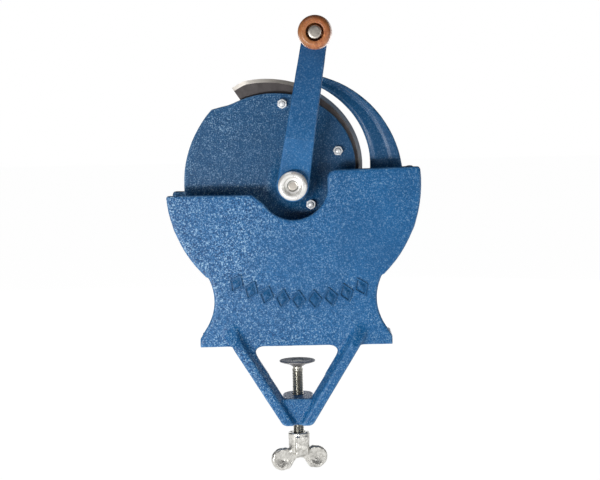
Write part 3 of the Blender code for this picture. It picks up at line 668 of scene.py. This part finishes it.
def rear_casting():
    """A rim and a web behind the disc, with stiffeners, a bearing boss and the opening for the feed."""
    step = 1.0
    low, high = span("rear_housing")
    block = Block(low, high, step)
    x, y, z = block.x, block.y, block.z - HUB[1]
    radius = np.hypot(x, z)
    rim_top = np.where(x < 0.0, z + 8.5, z - 11.5)
    rim = crossed(np.abs(radius - (RIM_R - 3.0)) - 3.0, slab(y, HOUSING_FRONT, HOUSING_BACK), 1.6)
    rim = crossed(rim, rim_top, 1.6)
    web_top = np.where(x < 0.0, z + 7.0, z - 5.0)
    web = crossed(crossed(radius - (RIM_R - 1.0), web_top, 1.0), slab(y, HOUSING_FRONT, 22.0), 1.4)
    body = merged(rim, web, 3.0)
    pad = crossed(slab(x, 98.0, 109.0), slab(y, HOUSING_FRONT, HOUSING_BACK - 0.5), 1.6)
    body = merged(body, crossed(pad, slab(z, -20.0, 11.5), 1.6), 3.0)
    for turn, drop in ((180.0, -11.0), (226.0, 0.0), (270.0, 0.0)):
        ahead = (math.cos(math.radians(turn)), math.sin(math.radians(turn)))
        run = x * ahead[0] + (z - drop) * ahead[1]
        side = x * -ahead[1] + (z - drop) * ahead[0]
        rib = crossed(crossed(np.abs(side) - 3.0, slab(run, 0.0, 108.0), 0.5), slab(y, 20.0, 32.0), 1.6)
        body = merged(body, rib, 3.0)
    bearing = crossed(radius - (17.0 - 0.04 * (y - 20.0)), slab(y, 14.0, 60.0), 1.8)
    body = merged(body, bearing, 5.0)
    for turn in PILLAR_ANGLES:
        px, pz = polar(PILLAR_PCR, turn)
        lug = crossed(np.hypot(x - px, z - pz) - 7.5, slab(y, HOUSING_FRONT, HOUSING_BACK), 1.5)
        body = merged(body, lug, 2.5)
    body = body + waves(block)
    for turn in PILLAR_ANGLES:
        px, pz = polar(PILLAR_PCR, turn)
        body = without(body, np.hypot(x - px, z - pz) - BOLT_BORE)
    body = without(body, crossed(slab(x, *THROAT_X), slab(z, *THROAT_Z)), 1.0)
    body = without(body, radius - 8.2)
    piece = field_mesh("rear_casting", block, body)
    dress(piece, "frame", MATERIALS["rear"], "blue_enamel", "rear_housing")


def trough():
    """Sheet trough with a flange, its bends rounded."""
    step = 0.8
    low, high = span("feed_trough")
    block = Block(low, high, step)
    x, y, z = block.x, block.y, block.z
    wall = 3.0
    flange = crossed(slab(x, low[0], high[0]), slab(z, low[2], high[2]), 4.0)
    flange = crossed(flange, slab(y, low[1], low[1] + wall), 0.8)
    bottom, open_top = HUB[1] + THROAT_Z[0], HUB[1] + 60.0
    hollow = crossed(slab(x, *THROAT_X), slab(z, bottom, open_top), 3.0)
    across = slab(x, THROAT_X[0] - wall, THROAT_X[1] + wall)
    outer = crossed(across, slab(z, bottom - wall, high[2]), 0.8)
    corner = crossed(across, slab(z, bottom - wall, open_top), 5.0)
    tray = crossed(np.maximum(outer, corner), slab(y, low[1] + 1.0, high[1]), 0.8)
    body = merged(flange, without(tray, hollow, 0.8), 2.5)
    throat = crossed(slab(x, *THROAT_X), slab(z, bottom, HUB[1] + THROAT_Z[1]))
    body = without(body, np.maximum(throat, slab(y, low[1] - 5.0, low[1] + 5.0)), 0.6)
    for i in range(1, 5):
        px, _, pz = middle(f"trough_screw_{i}")
        body = without(body, np.maximum(np.hypot(x - px, z - pz) - 2.3, y - low[1] - 6.0))
    piece = field_mesh("trough_casting", block, body + waves(block, height=0.06))
    dress(piece, "frame", MATERIALS["rear"], "blue_enamel", "feed_trough")


# ---------------------------------------------------------------- disc and knife

def body_edge(turn):
    """The slot's inner side: how far it lies from the hub at an angle. The other edges are given likewise."""
    return 54.3 + 0.29 * turn


def crescent_edge(turn):
    return 68.0 + 0.298 * turn


def knife_edge(turn):
    return min(61.2 + 0.26 * turn + 0.0009 * turn * turn, KNIFE_TIP_R)


def spiral(radius, first, last, step=3.0):
    count = math.ceil(abs(last - first) / step) + 1
    turns = [first + (last - first) * i / (count - 1) for i in range(count)]
    return [polar(radius(turn), turn) for turn in turns]


def disc_casting():
    """The disc with its spiral slot, the crescent's relief, and bosses for the shaft."""
    step = 0.85
    low, high = span("knife_disc")
    block = Block(low, high, step)
    x, y, z = block.x, block.y, block.z - HUB[1]
    outline = arc(DISC_R, 137.0, 360.0 + CRESCENT_TIP)
    outline += spiral(crescent_edge, CRESCENT_TIP - 2.0, SLOT_START)
    outline += spiral(body_edge, SLOT_START, SLOT_MOUTH)
    outline += [polar(90.9, 126.0), polar(92.4, 129.0), polar(95.6, 132.5)]
    flat = outline_distance(x, z, outline)
    radius = np.hypot(x, z)
    turn = np.degrees(np.arctan2(z, x))
    inner = crescent_edge(turn)
    part = np.clip((radius - inner) / np.maximum(DISC_R - inner, 4.0), 0.0, 1.0)
    depth = np.interp(part, (0.0, 0.12, 0.2, 0.52, 0.6, 0.72, 0.92, 1.0),
                      (1.7, 0.5, 0.0, 1.5, 2.1, 0.9, 0.4, 1.0))
    fade = np.clip((turn + 68.0) / 30.0, 0.0, 1.0) * (radius > inner - 3.5) * (turn < 110.0)
    front = DISC_FRONT + (depth * fade).astype(np.float32)
    disc = crossed(flat, np.maximum(front - y, y - DISC_BACK), 1.1)
    boss = crossed(radius - (14.5 + 0.10 * (y + 20.0)), slab(y, low[1], 6.0), 1.5)
    disc = merged(disc, boss, 11.0)
    rear_boss = crossed(radius - 13.0, slab(y, 4.0, high[1]), 1.0)
    disc = merged(disc, rear_boss)
    disc = disc + waves(block, height=0.14)
    for place in screw_places():
        disc = without(disc, np.hypot(x - place[0], block.z - place[1]) - 2.7)
    disc = without(disc, radius - 6.2)
    pin_hole = np.maximum(np.hypot(y + 9.0, z) - 2.2, np.abs(x) - 40.0)
    disc = without(disc, np.broadcast_to(pin_hole, block.shape))
    piece = field_mesh("disc_casting", block, disc)
    dress(piece, "rotor", MATERIALS["disc"], "blue_enamel", "knife_disc")


def screw_places():
    return [(middle(f"knife_screw_{i}")[0], middle(f"knife_screw_{i}")[2]) for i in range(1, 4)]


def blade():
    """The spiral blade: each cross-section has a flat back and a bevel ground on its front."""
    bevel_width = 3.6
    count = int((KNIFE_END - KNIFE_START) / 1.5) + 1
    shape = bmesh.new()
    rings = []
    for i in range(count):
        turn = KNIFE_START + (KNIFE_END - KNIFE_START) * i / (count - 1)
        outer = knife_edge(turn)
        heel = max(0.0, (turn - 119.0) / 3.0)
        inner = max(outer - 33.0, 17.5)
        section = ((inner, KNIFE_FRONT), (outer - bevel_width, KNIFE_FRONT),
                   (outer - 0.05, KNIFE_BACK - 0.35), (outer - 0.1, KNIFE_BACK), (inner, KNIFE_BACK))
        ring = []
        for r, y in section:
            px, pz = polar(r, turn - heel * (outer - r) * 0.03, HUB)
            ring.append(shape.verts.new((px * MM, y * MM, pz * MM)))
        rings.append(ring)
    for before, after in zip(rings, rings[1:]):
        for k in range(5):
            m = (k + 1) % 5
            face = shape.faces.new((before[k], after[k], after[m], before[m]))
            face.material_index = 1 if k in (1, 2) else 0
    shape.faces.new(rings[0])
    shape.faces.new(list(reversed(rings[-1])))
    bmesh.ops.recalc_face_normals(shape, faces=shape.faces)
    blank = shape_object("sickle_blade", shape, smooth=False)
    for place in screw_places():
        profile = [(0.0, 12.5), (5.4, 12.5), (5.4, 11.5), (2.8, 9.0), (2.8, 6.0), (0.0, 6.0)]
        cut_out(blank, turned("sink", profile, "Y", place, 40))
    blank.data.shade_smooth()
    blank.data.set_sharp_from_angle(angle=math.radians(12.0))
    indices = [p.material_index for p in blank.data.polygons]
    dress(blank, "rotor", [MATERIALS["blade"], MATERIALS["ground"]], "knife_steel", "sickle_knife")
    for polygon, index in zip(blank.data.polygons, indices):
        polygon.material_index = min(index, 1)


def hexagon(flats, phase=0.0):
    """How far out a hexagonal face lies, for a radius that reaches past it."""
    def radius_at(radius, height, turn):
        sixth = math.pi / 3
        return min(radius, flats / 2 / math.cos((turn + phase) % sixth - sixth / 2))

    return radius_at


def hex_piece(name, flats, bore, front, back, centre, phase=0.0):
    """A nut along Y with chamfered corners. Front is its lower Y."""
    corner = flats / math.sqrt(3)
    profile = [(bore, front + 0.35), (bore + 0.45, front), (flats * 0.475, front),
               (flats * 0.5, front + 0.12), (corner + 0.1, front + 0.7), (corner + 0.1, back), (bore, back)]
    return turned(name, profile, "Y", centre, 96, hexagon(flats, phase), sharp=24.0)


def knife_fasteners():
    for index, place in enumerate(screw_places(), 1):
        low, high = span(f"knife_nut_{index}")
        nut = hex_piece(f"nut_{index}", 8.0, 2.75, low[1], high[1], place, 0.5 * index)
        dress(nut, "rotor", MATERIALS["nut"], "bright_steel", f"knife_nut_{index}")
        low, high = span(f"knife_screw_{index}")
        tip = low[1]
        profile = [(0.0, high[1]), (1.2, high[1]), (4.6, high[1]), (2.5, high[1] - 2.2), (2.5, tip + 0.9),
                   (2.2, tip + 0.45), (1.5, tip + 0.15), (0.0, tip)]
        dress(turned(f"screw_{index}", profile, "Y", place, 40), "rotor", MATERIALS["nut"], "dull_steel",
              f"knife_screw_{index}")


# ---------------------------------------------------------------- crank

def upright_to_rest():
    """From an arm that stands upright on the origin to its place at rest."""
    hub = Vector((HUB[0], 0.0, HUB[1])) * MM
    return Matrix.Translation(hub) @ Matrix.Rotation(ARM_TILT, 4, "Y")


def arm_casting():
    """The front outline crossed with the cranked side outline, its edges well rounded."""
    step = 0.55
    front, thick = span("crank_arm")[0][1], 10.0
    hub_front, hub_back = -36.0, span("crank_arm")[1][1]
    block = Block((-15.0, front, -15.0), (15.0, hub_back, ARM_LENGTH + 12.5), step)
    x, y, z = block.x, block.y, block.z
    kink = 42.0
    outline = arc(14.5, 180.0, 360.0, step=6.0) + [(13.25, kink), (ARM_END_R, ARM_LENGTH)]
    outline += arc(ARM_END_R, 0.0, 180.0, (0.0, ARM_LENGTH), 6.0) + [(-ARM_END_R, ARM_LENGTH), (-13.25, kink)]
    side = [(hub_front, -30.0), (hub_front, 14.0), (front, kink), (front, 200.0), (front + thick, 200.0),
            (front + thick, kink + 5.0), (-25.5, 17.0), (hub_back, 15.2), (hub_back, -30.0)]
    arm = crossed(outline_distance(x, z, outline), outline_distance(y, z, side), 2.0)
    seat = np.maximum(np.abs(x), np.abs(z)) - 4.6
    arm = without(arm, seat)
    arm = without(arm, np.hypot(x, z - ARM_LENGTH) - 3.2)
    piece = field_mesh("arm_casting", block, arm + waves(block, 12.0, 0.1))
    piece.data.transform(upright_to_rest())
    dress(piece, "rotor", MATERIALS["arm"], "blue_enamel", "crank_arm")


def collar():
    """The round nut in front of the arm, and the shaft's end inside its recess."""
    low, high = span("crank_collar")
    front, back = low[1], high[1]
    outer = (high[0] - low[0]) / 2 + 0.4
    profile = [(outer - 1.6, back), (outer, back - 1.4), (outer, front + 1.6), (outer - 1.9, front),
               (8.2, front), (7.2, front + 2.6), (4.75, front + 2.6), (4.75, back)]
    profile = softened(profile, 0.8, closed=True)
    dress(turned("round_nut", profile, "Y", HUB, 96), "rotor", MATERIALS["collar"], "bright_steel",
          "crank_collar")
    tip = span("drive_shaft")[0][1]
    stub = [(0.0, front + 4.0), (4.3, front + 4.0), (4.4, front + 3.0), (4.1, tip + 0.25),
            (3.4, tip - 0.1), (0.0, tip)]
    dress(turned("shaft_tip", softened(stub, 0.3), "Y", HUB, 64), "rotor", MATERIALS["pin"], "bright_steel")


def grip_profile(front, back):
    """A turned grip: slim behind, full towards the front, with a rounded end and a deep hole."""
    length = back - front
    outer = [(0.0, 8.6), (0.012, 10.2), (0.035, 10.9), (0.10, 10.9), (0.22, 11.6), (0.38, 13.0), (0.55, 14.2),
             (0.70, 14.5), (0.84, 14.4), (0.92, 14.0), (0.96, 13.4), (0.985, 12.4), (1.0, 10.8)]
    profile = [(r, back - t * length) for t, r in outer]
    profile += [(8.0, front + 0.05), (7.45, front + 0.6), (7.4, front + 8.0), (3.3, front + 8.0), (3.3, back)]
    return softened(profile, 2.2, closed=True, parts=5)


def handle():
    """The grip, the spindle that it turns on, and the washer behind it."""
    low, high = span("grip")
    grip = turned("turned_grip", grip_profile(low[1], high[1]), "Y", GRIP_AXIS, 96, sharp=60.0)
    dress(grip, "grip", MATERIALS["wood"], "turned_wood", "grip")
    low, high = span("handle_spindle")
    head = low[1]
    profile = [(0.0, high[1]), (3.0, high[1]), (3.0, head + 6.1), (6.0, head + 6.1), (6.0, head + 1.3),
               (5.5, head + 0.5), (4.2, head + 0.12), (0.0, head)]
    dress(turned("spindle", softened(profile, 0.4), "Y", GRIP_AXIS, 64), "rotor", MATERIALS["pin"],
          "bright_steel", "handle_spindle")
    low, high = span("grip_washer")
    profile = softened([(8.0, high[1]), (8.0, low[1]), (3.3, low[1]), (3.3, high[1])], 0.3, closed=True)
    dress(turned("thin_washer", profile, "Y", GRIP_AXIS, 64), "rotor", MATERIALS["dull"], "dull_steel",
          "grip_washer")


# ---------------------------------------------------------------- clamp

def threaded_rod(name, low, high, radius, pitch, depth):
    """A rod along Z with a helical thread whose ends run out."""
    steps = 48
    rows_per_pitch = 8
    rows = int((high - low) / pitch * rows_per_pitch)
    shape = bmesh.new()
    rings = []
    for row in range(rows + 1):
        height = low + (high - low) * row / rows
        fade = min(1.0, (height - low) / 2.0, (high - height) / 2.0)
        ring = []
        for i in range(steps):
            turn = 2 * math.pi * i / steps
            phase = (height / pitch - i / steps) % 1.0
            cut = depth * max(0.0, fade) * (0.5 - 0.5 * math.cos(2 * math.pi * phase))
            r = (radius - cut) * MM
            ring.append(shape.verts.new((r * math.cos(turn), r * math.sin(turn), height * MM)))
        rings.append(ring)
    for lower, upper in zip(rings, rings[1:]):
        for i in range(steps):
            k = (i + 1) % steps
            shape.faces.new((lower[i], lower[k], upper[k], upper[i]))
    shape.faces.new(list(reversed(rings[0])))
    shape.faces.new(rings[-1])
    return shape_object(name, shape, sharp=60.0)


def clamp():
    """The threaded screw with its riveted head, the swivelling pad, the wing, and the pin through both."""
    low, high = span("clamp_screw")
    pad_low, pad_high = span("clamp_pad")
    neck_top = pad_low[2] - 0.3
    thread_top = neck_top - 2.6
    head = [(0.0, high[2]), (4.3, high[2] - 0.2), (4.6, high[2] - 0.9), (3.3, high[2] - 0.9),
            (3.3, neck_top), (4.2, neck_top), (4.2, thread_top - 1.0), (0.0, thread_top - 1.0)]
    rod = threaded_rod("rod", low[2], thread_top, 5.0, 1.5, 0.62)
    screw = joined("threaded_screw", rod, turned("peened_end", softened(head, 0.3), steps=48))
    dress(screw, "screw", MATERIALS["thread"], "dull_steel", "clamp_screw")
    top, outer = pad_high[2], (pad_high[0] - pad_low[0]) / 2
    profile = [(outer - 0.5, top - 0.1), (outer, top - 0.6), (outer - 0.1, top - 1.3),
               (outer - 3.0, top - 2.3), (9.2, top - 3.4), (6.6, top - 4.6), (5.8, pad_low[2] + 0.3),
               (5.5, pad_low[2]), (3.7, pad_low[2]), (3.7, top - 1.8), (5.2, top - 1.8), (5.7, top - 0.5),
               (9.0, top - 0.35), (13.0, top - 0.1)]
    dress(turned("swivel_pad", softened(profile, 0.5, closed=True), steps=96), "pad", MATERIALS["pad"],
          "dull_steel", "clamp_pad")
    wing()
    pin = turned("cross_pin", softened([(0.0, 9.3), (1.6, 9.3), (1.6, -9.3), (0.0, -9.3)], 0.4), "X",
                 (0.0, middle("wing_pin")[2]), 32)
    pin.data.transform(Matrix.Rotation(WING_TURN, 4, "Z"))
    dress(pin, "screw", MATERIALS["dull"], "dull_steel", "wing_pin")


def wing():
    """A cast wing: a collar with a flat in front, and two drop-shaped ears with thumb hollows."""
    step = 0.4
    low, high = span("wing_handle")
    top = high[2]
    ear_x, ear_z, ear_r = 16.3, -108.0, 10.3
    block = Block((-27.0, -10.2, low[2] - 0.3), (27.0, 10.2, top), step)
    x, y, z = block.x, block.y, block.z
    ax = np.abs(x)
    radius = np.hypot(x, y)
    taper = 0.03 * (top - z)
    collar_field = crossed(radius - (9.8 - taper), slab(z, -102.5, top), 1.3)
    facet = crossed(crossed(ax - 5.6, np.abs(y) - 9.9, 0.5), slab(z, -103.6, top - 2.6), 1.6)
    body = merged(collar_field, facet, 0.6)
    tail = np.sqrt(x ** 2 + y ** 2 + ((z + 101.0) * 1.25) ** 2) - 7.4
    body = merged(body, tail, 2.0)
    ear = np.hypot(ax - ear_x, z - ear_z) - ear_r
    web_outline = [(-0.1, -99.8), (9.0, -100.4), (ear_x - 3.4, ear_z + 9.8), (ear_x + 1.0, ear_z),
                   (ear_x - 5.6, ear_z - 8.7), (9.0, -112.0), (4.0, -108.3), (-0.1, -106.8)]
    drop = merged(ear, outline_distance(ax, z, web_outline), 3.0)
    thick = 3.3 - 0.9 * np.clip((14.0 - np.hypot(ax - ear_x, z - ear_z)) / 14.0, 0.0, 1.0)
    body = merged(body, crossed(drop, np.abs(y) - thick, 2.2), 2.5)
    for side in (-1.0, 1.0):
        hollow = np.sqrt((ax - ear_x - 0.4) ** 2 + (z - ear_z) ** 2 + (y - side * 9.2) ** 2) - 8.0
        body = without(body, hollow, 2.0)
        dent = np.sqrt((ax - ear_x) ** 2 + (z - ear_z + 0.5) ** 2 + (y - side * 2.6) ** 2) - 1.9
        body = without(body, dent, 0.6)
    body = without(body, np.maximum(radius - 5.3, -99.5 - z), 0.8)
    body = body + waves(block, 4.2, 0.2) + waves(block, 2.1, 0.05)
    piece = field_mesh("cast_wing", block, body)
    piece.data.transform(Matrix.Rotation(WING_TURN, 4, "Z"))
    dress(piece, "screw", MATERIALS["wing"], "cast_wing_metal", "wing_handle")


# ---------------------------------------------------------------- fittings behind

def rear_fittings():
    low, high = span("shaft_nut")
    dress(hex_piece("rear_nut", 17.0, 5.1, low[1], high[1], HUB), "rotor", MATERIALS["bright"], "dull_steel",
          "shaft_nut")
    for index, turn in enumerate(PILLAR_ANGLES, 1):
        place = polar(PILLAR_PCR, turn, HUB)
        low, high = span(f"housing_bolt_{index}")
        face = high[1] - 3.5
        profile = [(0.0, high[1] - 0.3), (1.6, high[1] - 0.3), (2.0, high[1]), (3.75, high[1]),
                   (4.7, high[1] - 0.6), (4.7, face), (2.5, face), (2.5, low[1]), (0.0, low[1])]
        bolt = turned(f"bolt_{index}", profile, "Y", place, 96, hexagon(8.0, 0.3 * index), sharp=24.0)
        dress(bolt, "frame", MATERIALS["dull"], "dull_steel", f"housing_bolt_{index}")
    for index in range(1, 5):
        slotted_screw(index)


def slotted_screw(index):
    """A pan-head screw of the trough, its slot at an angle of its own."""
    node = f"trough_screw_{index}"
    low, high = span(node)
    place = (middle(node)[0], middle(node)[2])
    face = high[1] - 2.6
    profile = [(0.0, high[1]), (1.6, high[1] - 0.1), (2.8, high[1] - 0.6), (3.5, high[1] - 1.5), (3.6, face),
               (1.95, face), (1.95, low[1]), (0.0, low[1])]
    screw = turned(f"pan_screw_{index}", profile, "Y", place, 48)
    cutter = bmesh.new()
    bmesh.ops.create_cube(cutter, size=1.0)
    bmesh.ops.scale(cutter, vec=(9 * MM, 1.2 * MM, 0.9 * MM), verts=cutter.verts)
    bmesh.ops.rotate(cutter, matrix=Matrix.Rotation(0.7 * index, 3, "Y"), verts=cutter.verts)
    bmesh.ops.translate(cutter, vec=(place[0] * MM, (high[1] - 0.3) * MM, place[1] * MM), verts=cutter.verts)
    cut_out(screw, shape_object("slot", cutter, smooth=False))
    dress(screw, "frame", MATERIALS["bright"], "dull_steel", node)


def kept_nodes():
    """CAD pieces whose shape is right already."""
    finishes = {
        "throat_plate": "ground", "shaft_bush_front": "bronze", "shaft_bush_rear": "bronze",
        "disc_pin": "dull", "drive_shaft": "bright", "thrust_washer_front": "dull",
        "thrust_washer_rear": "dull",
    }
    finishes.update({f"throat_plate_screw_{i}": "bright" for i in range(1, 5)})
    for node, finish_name in finishes.items():
        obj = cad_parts[node]
        obj.data.materials.clear()
        obj.data.materials.append(MATERIALS[finish_name])


# ---------------------------------------------------------------- stage

def stage():
    """A pale floor, low enough for the wing when the clamp is fully open."""
    floor_z = cad_bounds[0][2] - FLOOR_DROP
    reach = 6.0
    mesh = bpy.data.meshes.new("floor")
    mesh.from_pydata([(-reach, -reach, floor_z), (reach, -reach, floor_z), (reach, reach, floor_z),
                      (-reach, reach, floor_z)], [], [(0, 1, 2, 3)])
    floor = add_object("floor", mesh)
    n = Nodes("pale_floor")
    n.set(Base_Color=(0.12, 0.12, 0.12, 1.0), Roughness=1.0, Specular_IOR_Level=0.0)
    n.set(Emission_Color=(1.0, 1.0, 1.0, 1.0), Emission_Strength=0.98)
    floor.data.materials.append(n.material)


def area_light(name, place, target, size, power):
    data = bpy.data.lights.new(name, "AREA")
    data.shape = "RECTANGLE"
    data.size, data.size_y = size
    data.energy = power
    obj = bpy.data.objects.new(name, data)
    bpy.context.scene.collection.objects.link(obj)
    obj.location = place
    obj.rotation_euler = (Vector(target) - Vector(place)).to_track_quat("-Z", "Y").to_euler()
    obj.visible_camera = False


def lights():
    """A low key from the front left, a weaker fill, one light from above, two from behind, and a white world.

    The world is white to the camera and lights the part only a little.
    """
    target = (0.0, 0.0, 0.12)
    area_light("key", (-0.42, -0.72, -0.07), target, (0.5, 0.10), 5.4)
    area_light("fill", (1.0, -1.2, 0.0), target, (0.8, 0.2), 2.3)
    area_light("top", (-0.45, -0.55, 1.25), target, (0.8, 0.6), 3.0)
    area_light("back", (0.8, 1.35, 0.3), target, (0.9, 0.8), 5.0)
    area_light("backdrop", (0.0, 1.6, 0.1), (0.0, 0.0, 0.0), (1.2, 0.3), 3.0)
    world = bpy.data.worlds.new("studio")
    bpy.context.scene.world = world
    world.use_nodes = True
    tree = world.node_tree
    background = tree.nodes["Background"]
    background.inputs["Color"].default_value = (1.0, 1.0, 1.0, 1.0)
    seen = tree.nodes.new("ShaderNodeLightPath").outputs["Is Camera Ray"]
    strength = tree.nodes.new("ShaderNodeMapRange")
    strength.inputs["To Min"].default_value = 0.08
    strength.inputs["To Max"].default_value = 1.0
    tree.links.new(seen, strength.inputs["Value"])
    tree.links.new(strength.outputs["Result"], background.inputs["Strength"])


def camera():
    """Slightly above the hub and far off, and turned a little to level the foot."""
    data = bpy.data.cameras.new("camera")
    data.lens = CAMERA_LENS
    data.sensor_width = 36.0
    obj = bpy.data.objects.new("camera", data)
    bpy.context.scene.collection.objects.link(obj)
    obj.location = Vector(CAMERA_PLACE) * MM
    yaw, pitch, roll = (math.radians(angle) for angle in CAMERA_YAW_PITCH_ROLL)
    turn = Matrix.Rotation(yaw, 4, "Z") @ Matrix.Rotation(math.pi / 2 - pitch, 4, "X")
    obj.rotation_euler = (turn @ Matrix.Rotation(roll, 4, "Z")).to_euler()
    bpy.context.scene.camera = obj


def main():
    front_casting()
    shield_ornament()
    rear_casting()
    trough()
    disc_casting()
    blade()
    knife_fasteners()
    arm_casting()
    collar()
    handle()
    clamp()
    rear_fittings()
    kept_nodes()
    stage()
    lights()
    camera()
    bpy.context.scene.view_settings.view_transform = "Standard"
    bpy.context.view_layer.update()


main()
